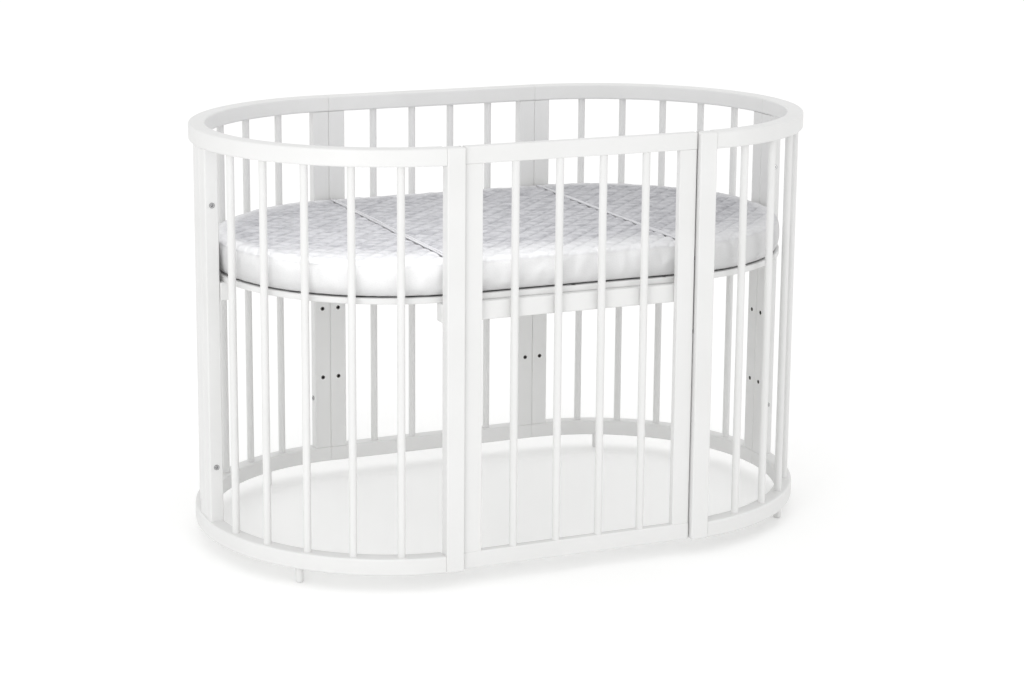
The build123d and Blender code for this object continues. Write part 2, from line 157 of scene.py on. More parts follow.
# shader helpers
def addNode(tree, kind, settings=None, inputs=None):
    made = tree.nodes.new(kind)
    for key, value in (settings or {}).items():
        setattr(made, key, value)
    for key, value in (inputs or {}).items():
        if isinstance(value, bpy.types.NodeSocket):
            tree.links.new(value, made.inputs[key])
        else:
            made.inputs[key].default_value = value
    return made


def newGroup(name, inputs, outputs):
    tree = bpy.data.node_groups.new(name, "ShaderNodeTree")
    for direction, sockets in (("INPUT", inputs), ("OUTPUT", outputs)):
        for label, kind in sockets.items():
            tree.interface.new_socket(label, in_out=direction, socket_type="NodeSocket" + kind)
    return tree, tree.nodes.new("NodeGroupInput"), tree.nodes.new("NodeGroupOutput")


def useGroup(tree, group, inputs):
    return addNode(tree, "ShaderNodeGroup", {"node_tree": group}, inputs)


def doMath(tree, operation, first, second=0.0, clamp=False):
    settings = {"operation": operation, "use_clamp": clamp}
    return addNode(tree, "ShaderNodeMath", settings, {0: first, 1: second}).outputs[0]


def remap(tree, value, start=(0.0, 1.0), end=(0.0, 1.0), kind="LINEAR"):
    inputs = {"Value": value, "From Min": start[0], "From Max": start[1], "To Min": end[0], "To Max": end[1]}
    return addNode(tree, "ShaderNodeMapRange", {"interpolation_type": kind}, inputs).outputs[0]


def addNoise(tree, place, scale, detail, more=None):
    inputs = {"Vector": place, "Scale": scale, "Detail": detail, **(more or {})}
    return addNode(tree, "ShaderNodeTexNoise", {}, inputs).outputs[0]


def stretch(tree, place, scale):
    return addNode(tree, "ShaderNodeMapping", {}, {"Vector": place, "Scale": scale}).outputs[0]


def mixColor(tree, factor, first, second):
    # sockets 6 and 7 are the two colors of a mix node that is set to color
    return addNode(tree, "ShaderNodeMix", {"data_type": "RGBA"}, {0: factor, 6: first, 7: second}).outputs[2]


def newMaterial(name):
    material = bpy.data.materials.new(name)
    material.use_nodes = True
    tree = material.node_tree
    shader = tree.nodes["Principled BSDF"]
    coords = tree.nodes.new("ShaderNodeTexCoord")
    return material, tree, shader, coords


def bumpTo(tree, shader, height, distance):
    bump = addNode(tree, "ShaderNodeBump", {}, {"Height": height, "Distance": distance})
    tree.links.new(bump.outputs["Normal"], shader.inputs["Normal"])


# shared effects
filmValues = {
    "grainScale": (260, 260, 9),   # wood grain under the paint, drawn out along the piece
    "grainDetail": {"Roughness": 0.6},
    "peelScale": 620.0,            # fine bumps of the sprayed coat
    "peelHeight": 0.6,
    "cloudScale": 7.0,             # broad patches, a little darker
    "cloudRange": (0.38, 0.68),
    "cloudAmount": 0.4,
    "roughRange": (0.3, 0.7),
    "roughChange": (-0.05, 0.07),
    "speckScale": 55.0,
    "speckRange": (0.028, 0.05),
    "speckAmount": 0.22,
}
edgeValues = {
    "samples": 4,
    "range": (0.995, 0.9),         # agreement with the face's own direction: no edge, full edge
}
bendLength = 0.4                   # metres of grain for each radian of the bend
knitValues = {
    "pitch": 210.0,
    "distortion": 0.6,
    "fibreScale": 1500.0,
    "fibreHeight": 0.5,
    "fleckScale": 420.0,
    "fleckRange": (0.45, 0.66),
}


def makePaintGroup():
    values = filmValues
    tree, enter, leave = newGroup(
        "paintFilm",
        {"Vector": "Vector", "Color": "Color", "Shade": "Color", "Roughness": "Float", "Grain": "Float"},
        {"Color": "Color", "Roughness": "Float", "Height": "Float"})
    place = enter.outputs["Vector"]
    grain = addNoise(tree, stretch(tree, place, values["grainScale"]), 1.0, 4.0, values["grainDetail"])
    peel = addNoise(tree, place, values["peelScale"], 2.0)
    cloud = addNoise(tree, place, values["cloudScale"], 3.0)
    specks = addNode(tree, "ShaderNodeTexVoronoi", {}, {"Vector": place, "Scale": values["speckScale"]})
    speck = remap(tree, specks.outputs["Distance"], values["speckRange"], (values["speckAmount"], 0.0))
    mottled = doMath(tree, "MULTIPLY", remap(tree, cloud, values["cloudRange"]), values["cloudAmount"])
    tinted = doMath(tree, "ADD", mottled, speck, True)
    color = mixColor(tree, tinted, enter.outputs["Color"], enter.outputs["Shade"])
    tree.links.new(color, leave.inputs["Color"])
    rough = remap(tree, cloud, values["roughRange"], values["roughChange"])
    tree.links.new(doMath(tree, "ADD", rough, enter.outputs["Roughness"]), leave.inputs["Roughness"])
    grainHeight = doMath(tree, "MULTIPLY", grain, enter.outputs["Grain"])
    peelHeight = doMath(tree, "MULTIPLY", peel, values["peelHeight"])
    tree.links.new(doMath(tree, "ADD", grainHeight, peelHeight), leave.inputs["Height"])
    return tree


def makeEdgeGroup():
    # a mask of edges: rubbed paint on the wood, painted shadow round the bolt heads
    tree, enter, leave = newGroup("edgeRubAndShadow", {"Radius": "Float"}, {"Mask": "Float"})
    bevel = addNode(tree, "ShaderNodeBevel", {"samples": edgeValues["samples"]},
                    {"Radius": enter.outputs["Radius"]})
    surface = tree.nodes.new("ShaderNodeNewGeometry")
    dot = addNode(tree, "ShaderNodeVectorMath", {"operation": "DOT_PRODUCT"},
                  {0: bevel.outputs[0], 1: surface.outputs["Normal"]})
    tree.links.new(remap(tree, dot.outputs["Value"], edgeValues["range"]), leave.inputs["Mask"])
    return tree


def makeBendGroup():
    # turns a place on a round end into outward, up and around, so the grain can follow the bend
    tree, enter, leave = newGroup("aroundEnd", {"Vector": "Vector", "Centre": "Float"}, {"Vector": "Vector"})
    parts = addNode(tree, "ShaderNodeSeparateXYZ", {}, {0: enter.outputs["Vector"]})
    across = doMath(tree, "SUBTRACT", parts.outputs[0], enter.outputs["Centre"])
    angle = doMath(tree, "ARCTAN2", doMath(tree, "ABSOLUTE", across), parts.outputs[1])
    square = doMath(tree, "ADD", doMath(tree, "MULTIPLY", across, across),
                    doMath(tree, "MULTIPLY", parts.outputs[1], parts.outputs[1]))
    radius = doMath(tree, "SQRT", square)
    around = doMath(tree, "MULTIPLY", angle, bendLength)
    joined = addNode(tree, "ShaderNodeCombineXYZ", {}, {0: radius, 1: parts.outputs[2], 2: around})
    tree.links.new(joined.outputs[0], leave.inputs["Vector"])
    return tree


def makeKnitGroup():
    values = knitValues
    tree, enter, leave = newGroup(
        "fineKnit",
        {"Vector": "Vector", "Color": "Color", "Fleck": "Color", "Amount": "Float"},
        {"Color": "Color", "Height": "Float"})
    place = enter.outputs["Vector"]
    threads = {}
    for direction in ("X", "Y"):
        wave = addNode(tree, "ShaderNodeTexWave", {"bands_direction": direction},
                       {"Vector": place, "Scale": values["pitch"], "Distortion": values["distortion"],
                        "Detail": 1.0})
        threads[direction] = wave.outputs["Fac"]
    fibre = addNoise(tree, place, values["fibreScale"], 3.0)
    fleck = addNoise(tree, place, values["fleckScale"], 2.0)
    cloth = doMath(tree, "MULTIPLY", threads["X"], threads["Y"])
    height = doMath(tree, "ADD", cloth, doMath(tree, "MULTIPLY", fibre, values["fibreHeight"]))
    tree.links.new(height, leave.inputs["Height"])
    share = doMath(tree, "MULTIPLY", remap(tree, fleck, values["fleckRange"]), enter.outputs["Amount"])
    color = mixColor(tree, share, enter.outputs["Color"], enter.outputs["Fleck"])
    tree.links.new(color, leave.inputs["Color"])
    return tree


paintGroup = makePaintGroup()
edgeGroup = makeEdgeGroup()
bendGroup = makeBendGroup()
knitGroup = makeKnitGroup()
print("shared effects")


# painted wood
paintValues = {
    "color": (0.79, 0.79, 0.785, 1),
    "shade": (0.74, 0.74, 0.73, 1),
    "rubbed": (0.70, 0.69, 0.66, 1),
    "roughness": 0.42,
    "bump": 0.00012,
    "edgeRadius": 0.0016,
    "edgeAmount": 0.35,
}


def makePaint(name, turn=(0, 0, 0), centre=None, grain=0.5):
    values = paintValues
    material, tree, shader, coords = newMaterial(name)
    place = coords.outputs["Object"]
    if centre is not None:
        place = useGroup(tree, bendGroup, {"Vector": place, "Centre": centre}).outputs[0]
    else:
        place = addNode(tree, "ShaderNodeMapping", {}, {"Vector": place, "Rotation": turn}).outputs[0]
    film = useGroup(tree, paintGroup, {"Vector": place, "Color": values["color"], "Shade": values["shade"],
                                       "Roughness": values["roughness"], "Grain": grain})
    edge = useGroup(tree, edgeGroup, {"Radius": values["edgeRadius"]})
    share = doMath(tree, "MULTIPLY", edge.outputs[0], values["edgeAmount"])
    color = mixColor(tree, share, film.outputs["Color"], values["rubbed"])
    tree.links.new(color, shader.inputs["Base Color"])
    tree.links.new(film.outputs["Roughness"], shader.inputs["Roughness"])
    bumpTo(tree, shader, film.outputs["Height"], values["bump"])
    return material


uprightPaint = makePaint("uprightPaint")
lengthPaint = makePaint("lengthPaint", turn=(0, radians(90), 0))
crossPaint = makePaint("crossPaint", turn=(radians(90), 0, 0))
leftBendPaint = makePaint("leftBendPaint", centre=-halfStraight)
rightBendPaint = makePaint("rightBendPaint", centre=halfStraight)
boardPaint = makePaint("boardPaint", turn=(0, radians(90), 0), grain=0.1)


# metal, plastic and bare wood
metalValues = {
    "wornScale": 260.0,
    "wornRange": (0.45, 0.7),
    "dulled": 0.6,
    "fineScale": 1800.0,
    "bump": 0.00005,
    "roughChange": (-0.06, 0.14),
    # painted shadow: the rim colour makes a dark ring along the edges of a bolt head
    "rimRadius": 0.0024,
    "rimShadowColor": (0.05, 0.05, 0.05, 1),
}
pinValues = {
    "color": (0.018, 0.018, 0.019, 1),
    "fleck": (0.035, 0.035, 0.036, 1),
    "scale": 1300.0,
    "roughness": (0.42, 0.6),
    "bump": 0.00005,
}
dowelValues = {
    "grainScale": (420, 420, 20),
    "pale": (0.58, 0.42, 0.25, 1),
    "dark": (0.42, 0.28, 0.15, 1),
    "roughness": 0.7,
    "bump": 0.0001,
}


def makeMetal(name, color, roughness, spots, rim=0.0):
    values = metalValues
    material, tree, shader, coords = newMaterial(name)
    worn = addNoise(tree, coords.outputs["Object"], values["wornScale"], 4.0)
    fine = addNoise(tree, coords.outputs["Object"], values["fineScale"], 2.0)
    dull = tuple(values["dulled"] * channel for channel in color)
    share = remap(tree, worn, values["wornRange"], (0.0, spots))
    tint = mixColor(tree, share, (*color, 1), (*dull, 1))
    edge = useGroup(tree, edgeGroup, {"Radius": values["rimRadius"]})
    # painted shadow along the edges, as strong as rim asks
    tint = mixColor(tree, doMath(tree, "MULTIPLY", edge.outputs[0], rim), tint, values["rimShadowColor"])
    tree.links.new(tint, shader.inputs["Base Color"])
    rough = remap(tree, worn, end=[roughness + change for change in values["roughChange"]])
    tree.links.new(rough, shader.inputs["Roughness"])
    shader.inputs["Metallic"].default_value = 1.0
    bumpTo(tree, shader, fine, values["bump"])
    return material


def makePinPlastic():
    material, tree, shader, coords = newMaterial("pinPlastic")
    grit = addNoise(tree, coords.outputs["Object"], pinValues["scale"], 2.0)
    tree.links.new(mixColor(tree, grit, pinValues["color"], pinValues["fleck"]), shader.inputs["Base Color"])
    tree.links.new(remap(tree, grit, end=pinValues["roughness"]), shader.inputs["Roughness"])
    bumpTo(tree, shader, grit, pinValues["bump"])
    return material


def makeDowelWood():
    material, tree, shader, coords = newMaterial("dowelWood")
    grain = addNoise(tree, stretch(tree, coords.outputs["Object"], dowelValues["grainScale"]), 1.0, 5.0)
    color = mixColor(tree, grain, dowelValues["pale"], dowelValues["dark"])
    tree.links.new(color, shader.inputs["Base Color"])
    shader.inputs["Roughness"].default_value = dowelValues["roughness"]
    bumpTo(tree, shader, grain, dowelValues["bump"])
    return material


# the bolts get the painted shadow ring along their edges
boltSteel = makeMetal("boltSteel", (0.66, 0.66, 0.67), roughness=0.28, spots=0.2, rim=1.0)
screwSteel = makeMetal("screwSteel", (0.5, 0.5, 0.49), roughness=0.34, spots=0.4)
insertSteel = makeMetal("insertSteel", (0.16, 0.155, 0.15), roughness=0.4, spots=0.6)
pinPlastic = makePinPlastic()
dowelWood = makeDowelWood()


def wear(materialsByNode):
    for name, material in materialsByNode.items():
        for slot in nodes[name].material_slots:
            slot.material = material


finishes = {
    "joint_bolts": boltSteel,
    "joint_nuts": boltSteel,
    "base_bolts": boltSteel,
    "board_screws": screwSteel,
    "height_inserts": insertSteel,
    "front_panel_pins": pinPlastic,
}
for name in nodes:
    if name in finishes or name.startswith("mattress"):
        continue
    if "dowels" in name:
        finishes[name] = dowelWood
    elif name.endswith("_board"):
        finishes[name] = boardPaint
    elif name.endswith("_cleat"):
        finishes[name] = crossPaint
    elif name.endswith("_rail") and "panel" not in name:
        finishes[name] = leftBendPaint if "left" in name else rightBendPaint
    elif name.endswith("_rail") or name.endswith("_beam"):
        finishes[name] = lengthPaint
    else:
        finishes[name] = uprightPaint
wear(finishes)
print("finishes on the frame")


# floor
floorValues = {
    "size": 90.0,
    "below": 0.0005,         # how far under the feet it lies
    "color": (0.96, 0.96, 0.955),
    "dimmed": 0.985,
    "patchScale": 0.8,
    "roughness": 0.9,
    "shine": 0.1,
    "lift": 0.12,            # glow that only the camera sees
}


def makeFloor():
    values = floorValues
    material, tree, shader, coords = newMaterial("floorPaper")
    soft = addNoise(tree, coords.outputs["Object"], values["patchScale"], 2.0)
    pale = values["color"]
    dim = tuple(values["dimmed"] * channel for channel in pale)
    tree.links.new(mixColor(tree, soft, (*pale, 1), (*dim, 1)), shader.inputs["Base Color"])
    shader.inputs["Roughness"].default_value = values["roughness"]
    shader.inputs["Specular IOR Level"].default_value = values["shine"]
    path = tree.nodes.new("ShaderNodeLightPath")
    lift = doMath(tree, "MULTIPLY", path.outputs["Is Camera Ray"], values["lift"])
    shader.inputs["Emission Color"].default_value = (1, 1, 1, 1)
    tree.links.new(lift, shader.inputs["Emission Strength"])
    bm = bmesh.new()
    bmesh.ops.create_grid(bm, x_segments=1, y_segments=1, size=values["size"] / 2)
    bmesh.ops.translate(bm, verts=bm.verts, vec=(0, 0, boxLow.z - values["below"]))
    finishObject(bm, "floor", [material], smooth=False)


makeFloor()
print("floor")


# mattress cover
quiltValues = {
    "across": 0.044,         # quilting diamonds
    "along": 0.044,
    "depth": 0.0036,
    "fullness": 0.45,
}
coverValues = {
    # the top is the cover's white cloth greyed with painted shade; edge is painted light where the top meets
    # its rim
    "top": (0.52, 0.52, 0.542, 1),
    "topFleck": (0.44, 0.44, 0.462, 1),
    # painted shade for the quilting valleys and the wrinkle hollows
    "paintedValleyShade": (0.28, 0.28, 0.302, 1),
    "edge": (0.70, 0.70, 0.71, 1),
    "welt": (0.68, 0.68, 0.70, 1),
    "thread": (0.46, 0.46, 0.48, 1),
    "side": (0.71, 0.71, 0.712, 1),
    "sideFleck": (0.65, 0.65, 0.655, 1),
    "sideAmount": 0.5,
    # near-black: painted shadow along the foot of the side, and the colour of the underside
    "under": (0.028, 0.028, 0.03, 1),
    "underFleck": (0.05, 0.05, 0.052, 1),
    "underFrom": 0.5,
    "roughness": 0.9,
    "shine": 0.25,
    "sheenRoughness": 0.5,
    "bump": 0.0003,
}
stitchValues = {
    "line": (0.018, 0.034),  # how far from a line the thread is solid, and where it ends
    "perDiamond": 8.0,
    "gap": 0.3,
    "swell": (0.0, 0.2),     # from a line to where a diamond is full
    "swellHeight": 3.0,
    "valleyShadow": 0.35,
    "wrinkleScale": (21, 58, 21),
    "wrinkleBend": {"Distortion": 0.6},
    "wrinkleRange": (0.56, 0.36),
    "wrinkleShadow": 0.55,
    "wrinkleHeight": 9.0,
}


def readMask(tree, name):
    return addNode(tree, "ShaderNodeAttribute", {"attribute_name": name}).outputs["Fac"]


def addKnit(tree, place, color, fleck, amount):
    knit = useGroup(tree, knitGroup, {"Vector": place, "Color": color, "Fleck": fleck, "Amount": amount})
    return knit.outputs["Color"], knit.outputs["Height"]


def addQuilting(tree, place, tint, height):
    values = stitchValues
    # the quilting thread: short dashes along the two sets of slanting lines
    parts = addNode(tree, "ShaderNodeSeparateXYZ", {}, {0: place})
    across = doMath(tree, "DIVIDE", parts.outputs[0], quiltValues["across"])
    along = doMath(tree, "DIVIDE", parts.outputs[1], quiltValues["along"])
    lines = []
    threads = []
    for operation, other in (("ADD", "SUBTRACT"), ("SUBTRACT", "ADD")):
        line = doMath(tree, "PINGPONG", doMath(tree, operation, across, along), 0.5)
        lines.append(line)
        thin = remap(tree, line, values["line"], (1.0, 0.0))
        run = doMath(tree, "MULTIPLY", doMath(tree, other, across, along), values["perDiamond"])
        dash = doMath(tree, "GREATER_THAN", doMath(tree, "PINGPONG", run, 1.0), values["gap"])
        threads.append(doMath(tree, "MULTIPLY", thin, dash))
    # each diamond swells between its lines, and its valleys are darkened with painted shadow
    swell = remap(tree, doMath(tree, "MINIMUM", *lines), values["swell"], kind="SMOOTHSTEP")
    shadow = remap(tree, swell, end=(values["valleyShadow"], 0.0))
    # soft wrinkles, which run the long way of the crib, with painted shade in their hollows
    drawn = stretch(tree, place, values["wrinkleScale"])
    wrinkle = addNoise(tree, drawn, 1.0, 2.0, values["wrinkleBend"])
    wrinkleShade = remap(tree, wrinkle, values["wrinkleRange"], (0.0, values["wrinkleShadow"]))
    tint = mixColor(tree, doMath(tree, "ADD", shadow, wrinkleShade, True), tint, coverValues["paintedValleyShade"])
    tint = mixColor(tree, doMath(tree, "MAXIMUM", *threads), tint, coverValues["thread"])
    # painted light: the top is lightened towards its rim, its seams and its front
    tint = mixColor(tree, readMask(tree, "rim"), tint, coverValues["edge"])
    # the sides are plain, with a strip of painted shadow along the bottom
    side = readMask(tree, "side")
    puffed = doMath(tree, "ADD", doMath(tree, "MULTIPLY", swell, values["swellHeight"]),
                    doMath(tree, "MULTIPLY", wrinkle, values["wrinkleHeight"]))
    onTop = doMath(tree, "SUBTRACT", 1.0, side, True)
    height = doMath(tree, "ADD", height, doMath(tree, "MULTIPLY", puffed, onTop))
    plain = addKnit(tree, place, coverValues["side"], coverValues["sideFleck"], coverValues["sideAmount"])[0]
    tint = mixColor(tree, side, tint, plain)
    strip = doMath(tree, "GREATER_THAN", readMask(tree, "under"), coverValues["underFrom"])
    return mixColor(tree, strip, tint, coverValues["under"]), height


def makeCover(name, color, fleck, amount, sheen, stitched=False):
    material, tree, shader, coords = newMaterial(name)
    place = coords.outputs["UV"]
    tint, height = addKnit(tree, place, color, fleck, amount)
    if stitched:
        tint, height = addQuilting(tree, place, tint, height)
    tree.links.new(tint, shader.inputs["Base Color"])
    shader.inputs["Roughness"].default_value = coverValues["roughness"]
    shader.inputs["Specular IOR Level"].default_value = coverValues["shine"]
    shader.inputs["Sheen Weight"].default_value = sheen
    shader.inputs["Sheen Roughness"].default_value = coverValues["sheenRoughness"]
    bumpTo(tree, shader, height, coverValues["bump"])
    return material


quiltedCover = makeCover("quiltedCover", coverValues["top"], coverValues["topFleck"], amount=0.7,
                         sheen=0.12, stitched=True)
# the underside is as dark as the painted shadow strip
underShadeCover = makeCover("underShadeCover", coverValues["under"], coverValues["underFleck"], amount=0.6, sheen=0.0)
weltCover = makeCover("weltCover", coverValues["welt"], coverValues["topFleck"], amount=0.4, sheen=0.1)
print("covers")


# mattress
bodyValues = {
    "weld": 0.00002,
    "start": 0.0008,         # how far inside its full size the shape starts, on each side
    "voxel": 0.0085,
    "smoothing": 0.5,
    "topTurn": 0.5,          # a face that looks up more than this is part of the top
    "underTurn": -0.8,
    "endTurn": 0.9,
    "endReach": 0.01,
}
fillingValues = {
    "frames": 20,
    "cap": 0.004,            # furthest that filling moves a point
    "cloth": {
        "quality": 5,
        "mass": 0.3,
        "use_pressure": True,
        "uniform_pressure_force": 4.0,
        "shrink_min": -0.035,    # spare cloth, which makes the soft creases of the side
        "vertex_group_mass": "seams",
        "pin_stiffness": 1.0,
        "tension_stiffness": 12.0,
        "compression_stiffness": 12.0,
        "bending_stiffness": 0.6,
    },
    # heights are shares of the thickness
    "edge": 0.014,           # held this close to the sides, near the top and near the underside
    "edgeAbove": 0.86,
    "edgeBelow": 0.14,
    "underBelow": 0.06,      # all of the underside is held
    "topAbove": 0.9,
    "topHold": 0.35,         # the top is held less
}
# quiltTurn, quiltAbove, quiltInset and the fades are where a change starts and how wide it is
surfaceValues = {
    "crown": 0.0015,         # drop of the top at its outer edge
    "crownWidth": 0.06,
    "quiltTurn": (0.35, 0.4),
    "quiltAbove": (0.8, 0.1),
    "quiltInset": (0.01, 0.035),
    "quiltAtEdge": 0.25,
    "wave": 0.0016,
    "waveScale": 14,
    "waveSeed": 3.1,
    "seamDip": 0.002,
    "seamWidth": 0.015,
    "sideTurn": 0.5,
    "sideBlend": 0.4,
    "creaseFromSeam": 0.03,
    "crease": 0.0016,
    "foldScale": (22, 7),
    "foldSeed": 5.5,
    "fineShare": 0.4,
    "fineScale": (60, 16),
    "fineSeed": 9.5,
    "flatBelow": 0.08,       # points this low are pressed down to the underside
    "flatShare": 0.6,
    "seamGap": 0.0004,
}
maskValues = {
    # painted light on the top: a pale band along the rim, along the seams and, wider, along the front
    "rim": 0.9,
    "rimFade": (0.008, 0.05),
    "front": 0.7,
    "frontFade": (0.03, 0.12),
    "seam": 0.35,
    "seamWidth": 0.012,
    "sideDrop": 0.006,
    "sideBlend": 0.005,
    "strip": 0.0024,         # near-black strip of painted shadow below the white side, where the mattress meets the base
    "stripWave": 0.5,
    "stripScale": 16,
    "stripSeed": 2.5,
}


def rise(value, start, width):
    # from 0 at the start to 1 where the width ends, eased at both
    share = min(max((value - start) / width, 0.0), 1.0)
    return share * share * (3 - 2 * share)


def noiseAt(across, along, seed):
    return noise.noise(Vector((across, along, seed)))


class MattressShape:
    # where a point lies in a mattress piece, seen from above
    def __init__(self, node):
        self.low, self.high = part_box(node)
        self.radius = (self.high.y - self.low.y) / 2
        self.thickness = self.high.z - self.low.z
        self.heart = (self.low + self.high) / 2
        self.side = {"mattress_left": -1, "mattress_middle": 0, "mattress_right": 1}[node]
        ends = {-1: [self.high.x], 0: [self.low.x, self.high.x], 1: [self.low.x]}
        self.flats = ends[self.side]

    def outward(self, point):
        # way out of the nearest outer side, and how far in from it the point is
        across = max(0.0, self.side * point.x - halfStraight) * self.side
        away = Vector((across, point.y, 0))
        reach = away.length
        return (away / reach if reach else Vector((0, 1, 0))), self.radius - reach

    def up(self, point):
        return (point.z - self.low.z) / self.thickness

    def fromFlat(self, point):
        return min(abs(point.x - flat) for flat in self.flats)

    def inward(self, flat):
        return 1 if flat < self.heart.x else -1

    def around(self, point):
        # length along the outer side
        across = max(0.0, self.side * point.x - halfStraight)
        if across > 0:
            return self.side * (halfStraight + self.radius * atan2(across, -point.y))
        return point.x


def quiltHeight(across, along):
    first = across / quiltValues["across"]
    second = along / quiltValues["along"]
    puff = abs(sin(pi * (first + second))) * abs(sin(pi * (first - second)))
    return puff ** quiltValues["fullness"]


def pinWeight(shape, point):
    values = fillingValues
    up = shape.up(point)
    inset = min(shape.outward(point)[1], shape.fromFlat(point))
    nearFace = up > values["edgeAbove"] or up < values["edgeBelow"]
    if (inset < values["edge"] and nearFace) or up < values["underBelow"]:
        return 1.0
    return values["topHold"] if up > values["topAbove"] else 0.0


def fillWithCloth(piece, shape):
    start = [vertex.co.copy() for vertex in piece.data.vertices]
    group = piece.vertex_groups.new(name="seams")
    for index, point in enumerate(start):
        weight = pinWeight(shape, point)
        if weight > 0:
            group.add([index], weight, "REPLACE")
    modifier = piece.modifiers.new("filling", "CLOTH")
    for key, value in fillingValues["cloth"].items():
        setattr(modifier.settings, key, value)
    modifier.settings.effector_weights.gravity = 0.0
    modifier.collision_settings.use_collision = False
    modifier.point_cache.frame_start = 1
    modifier.point_cache.frame_end = fillingValues["frames"]
    for number in range(1, fillingValues["frames"] + 1):
        scene.frame_set(number)
    posed = piece.evaluated_get(bpy.context.evaluated_depsgraph_get())
    moved = [vertex.co.copy() for vertex in posed.data.vertices]
    piece.modifiers.remove(modifier)
    piece.vertex_groups.clear()
    scene.frame_set(1)
    for vertex, before, after in zip(piece.data.vertices, start, moved):
        step = after - before
        if step.length > fillingValues["cap"]:
            step *= fillingValues["cap"] / step.length
        vertex.co = before + step


def applyModifier(piece, kind, settings):
    modifier = piece.modifiers.new("shape", kind)
    for key, value in settings.items():
        setattr(modifier, key, value)
    posed = piece.evaluated_get(bpy.context.evaluated_depsgraph_get())
    mesh = bpy.data.meshes.new_from_object(posed)
    piece.modifiers.clear()
    old = piece.data
    piece.data = mesh
    bpy.data.meshes.remove(old)


def startPiece(name, node, shape):
    # the part's own solid, a little smaller and with an even net of faces
    bm = bmesh.new()
    bm.from_mesh(nodes[node].data)
    bmesh.ops.remove_doubles(bm, verts=bm.verts, dist=bodyValues["weld"])
    shrink = [1 - 2 * bodyValues["start"] / (shape.high[axis] - shape.low[axis]) for axis in range(3)]
    bmesh.ops.translate(bm, verts=bm.verts, vec=-shape.heart)
    bmesh.ops.scale(bm, verts=bm.verts, vec=shrink)
    bmesh.ops.translate(bm, verts=bm.verts, vec=shape.heart)
    piece = finishObject(bm, name, [])
    applyModifier(piece, "REMESH", {"mode": "VOXEL", "voxel_size": bodyValues["voxel"]})
    return piece


def refine(piece):
    bm = bmesh.new()
    bm.from_mesh(piece.data)
    bmesh.ops.smooth_vert(bm, verts=bm.verts, factor=bodyValues["smoothing"],
                          use_axis_x=True, use_axis_y=True, use_axis_z=True)
    bm.to_mesh(piece.data)
    bm.free()
    applyModifier(piece, "SUBSURF", {"levels": 1, "render_levels": 1})
    # the top is divided once more, for its quilting
    bm = bmesh.new()
    bm.from_mesh(piece.data)
    top = {edge for face in bm.faces if face.normal.z > bodyValues["topTurn"] for edge in face.edges}
    bmesh.ops.subdivide_edges(bm, edges=sorted(top, key=lambda edge: edge.index), cuts=1, use_grid_fill=True)
    bm.to_mesh(piece.data)
    bm.free()


def movePoint(shape, point, normal, drop):
    # crown, quilting, seam dips, creases and the flat underside
    values = surfaceValues
    low = shape.low.z
    way, inset = shape.outward(point)
    flatGap = shape.fromFlat(point)
    up = min(max(shape.up(point), 0.0), 1.0)
    quilted = rise(normal.z, *values["quiltTurn"]) * rise(up, *values["quiltAbove"])
    quilted *= values["quiltAtEdge"] + (1 - values["quiltAtEdge"]) * rise(inset, *values["quiltInset"])
    quilt = quiltValues["depth"] * (1 - quiltHeight(point.x, point.y)) * quilted
    scale = values["waveScale"]
    ripple = noiseAt(point.x * scale, point.y * scale, values["waveSeed"] + shape.side)
    wavy = values["wave"] * ripple * quilted
    seam = values["seamDip"] * (1 - rise(flatGap, 0, values["seamWidth"])) * quilted
    point = point + Vector((0, 0, -drop * up * up + wavy - seam)) - normal * quilt
    sideways = rise(values["sideTurn"] - abs(normal.z), 0, values["sideBlend"])
    sideways *= rise(flatGap, 0, values["creaseFromSeam"])
    length = shape.around(point)
    foldAlong, foldUp = values["foldScale"]
    fineAlong, fineUp = values["fineScale"]
    fold = noiseAt(length * foldAlong, point.z * foldUp, values["foldSeed"] + shape.side)
    fine = noiseAt(length * fineAlong, point.z * fineUp, values["fineSeed"])
    point = point + way * sideways * sin(pi * up) * values["crease"] * (fold + values["fineShare"] * fine)
    point.z = max(point.z, low)
    if up < values["flatBelow"]:
        point.z = low + (point.z - low) * values["flatShare"]
    for flat in shape.flats:
        inward = shape.inward(flat)
        if (point.x - flat) * inward < values["seamGap"]:
            point.x = flat + inward * values["seamGap"]
    return point, length


def maskPoint(shape, before, point, drop, length):
    # pale rim, plain side and dark strip of the cover: the rim is painted light, wider along the front, and
    # the strip is painted shadow
    values = maskValues
    way, inset = shape.outward(before)
    pale = values["rim"] * (1 - rise(inset, *values["rimFade"]))
    front = values["front"] * rise(-way.y, 0, 1) * (1 - rise(inset, *values["frontFade"]))
    seam = values["seam"] * (1 - rise(shape.fromFlat(before), 0, values["seamWidth"]))
    side = rise(shape.high.z - drop - values["sideDrop"] - point.z, 0, values["sideBlend"])
    ripple = noiseAt(length * values["stripScale"], values["stripSeed"], shape.side)
    strip = values["strip"] * (1 + values["stripWave"] * ripple)
    return max(pale, front, seam), side, 1 - (point.z - shape.low.z) / (2 * strip)


def shapeSurface(mesh, shape):
    values = surfaceValues
    normals = [vertex.normal.copy() for vertex in mesh.vertices]
    masks = []
    for vertex, normal in zip(mesh.vertices, normals):
        before = vertex.co.copy()
        inset = shape.outward(before)[1]
        drop = values["crown"] * (1 - rise(inset, 0, values["crownWidth"])) ** 2
        point, length = movePoint(shape, before, normal, drop)
        vertex.co = point
        masks.append(maskPoint(shape, before, point, drop, length))
    for label, column in zip(("rim", "side", "under"), zip(*masks)):
        mesh.attributes.new(label, "FLOAT", "POINT").data.foreach_set("value", column)


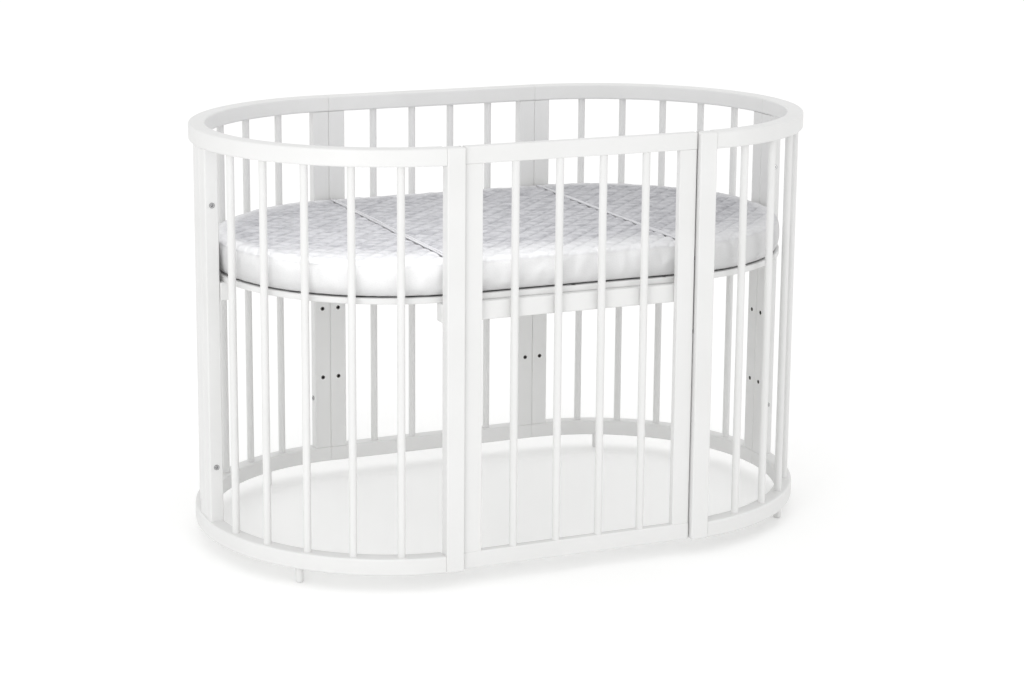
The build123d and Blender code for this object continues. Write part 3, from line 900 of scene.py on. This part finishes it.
def mapCloth(mesh, shape):
    # cover and underside, with a map laid out in metres
    for material in (quiltedCover, underShadeCover):
        mesh.materials.append(material)
    layer = mesh.uv_layers.new(name="cloth")
    for face in mesh.polygons:
        face.use_smooth = True
        if face.normal.z < bodyValues["underTurn"]:
            face.material_index = 1
        facesUp = abs(face.normal.z) > bodyValues["topTurn"]
        facesAlong = abs(face.normal.x) > bodyValues["endTurn"]
        atEnd = facesAlong and shape.fromFlat(face.center) < bodyValues["endReach"]
        for loop in face.loop_indices:
            point = mesh.vertices[mesh.loops[loop].vertex_index].co
            if facesUp:
                layer.data[loop].uv = (point.x, point.y)
            elif atEnd:
                layer.data[loop].uv = (point.y, point.z)
            else:
                layer.data[loop].uv = (shape.around(point), point.z)


def makeMattress(name, node):
    shape = MattressShape(node)
    piece = startPiece(name, node, shape)
    fillWithCloth(piece, shape)
    refine(piece)
    shapeSurface(piece.data, shape)
    mapCloth(piece.data, shape)
    mattressGroup.objects.link(piece)
    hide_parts(node)
    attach(piece, node)
    return piece, shape


# sewn welts along the seams
weltValues = {
    "radius": 0.0024,
    "press": 0.0003,         # how far it goes past the plane of the seam
    "reach": 0.006,
    "spacing": 0.012,
    "ends": 0.004,           # stops this far short of the outer sides
    "every": 3,              # one point in three shapes the curve
    "near": 2,               # neighbours on each side, for an even height
    "lift": 0.0006,
    "rings": 3,
    "weld": 0.00005,
}


def topOf(piece, x):
    # highest points near a line across the mattress, for the welt to lie on
    found = {}
    for vertex in piece.data.vertices:
        if abs(vertex.co.x - x) < weltValues["reach"]:
            key = round(vertex.co.y / weltValues["spacing"])
            if key not in found or vertex.co.z > found[key].z:
                found[key] = vertex.co
    return [found[key] for key in sorted(found)]


def makeWelt(name, piece, shape, flat, body):
    values = weltValues
    x = flat + shape.inward(flat) * (values["radius"] - values["press"])
    line = [point for point in topOf(piece, x) if abs(point.y) < shape.radius - values["ends"]]
    heights = [point.z for point in line]
    curve = bpy.data.curves.new(name, "CURVE")
    curve.dimensions = "3D"
    curve.bevel_depth = values["radius"]
    curve.bevel_resolution = values["rings"]
    curve.use_fill_caps = True
    spline = curve.splines.new("NURBS")
    kept = range(0, len(line), values["every"])
    spline.points.add(len(kept) - 1)
    for slot, index in zip(spline.points, kept):
        window = heights[max(0, index - values["near"]):index + values["near"] + 1]
        slot.co = (x, line[index].y, sum(window) / len(window) + values["lift"], 1)
    spline.order_u = 3
    spline.use_endpoint_u = True
    holder = bpy.data.objects.new(name + "Line", curve)
    scene.collection.objects.link(holder)
    mesh = bpy.data.meshes.new_from_object(holder.evaluated_get(bpy.context.evaluated_depsgraph_get()))
    bpy.data.objects.remove(holder)
    bm = bmesh.new()
    bm.from_mesh(mesh)
    bpy.data.meshes.remove(mesh)
    bmesh.ops.remove_doubles(bm, verts=bm.verts, dist=values["weld"])
    bmesh.ops.recalc_face_normals(bm, faces=bm.faces)
    layer = bm.loops.layers.uv.new("cloth")
    for face in bm.faces:
        for loop in face.loops:
            loop[layer].uv = (loop.vert.co.y, loop.vert.co.z + loop.vert.co.x)
    welt = finishObject(bm, name, [weltCover])
    mattressGroup.objects.link(welt)
    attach(welt, body)


for node in ("mattress_left", "mattress_middle", "mattress_right"):
    piece, shape = makeMattress(node.replace("mattress_", "quilted_"), node)
    for number, flat in enumerate(shape.flats):
        makeWelt(f"{node.replace('mattress', 'welt')}_{number}", piece, shape, flat, node)
    print("filled", node, len(piece.data.polygons), "faces")
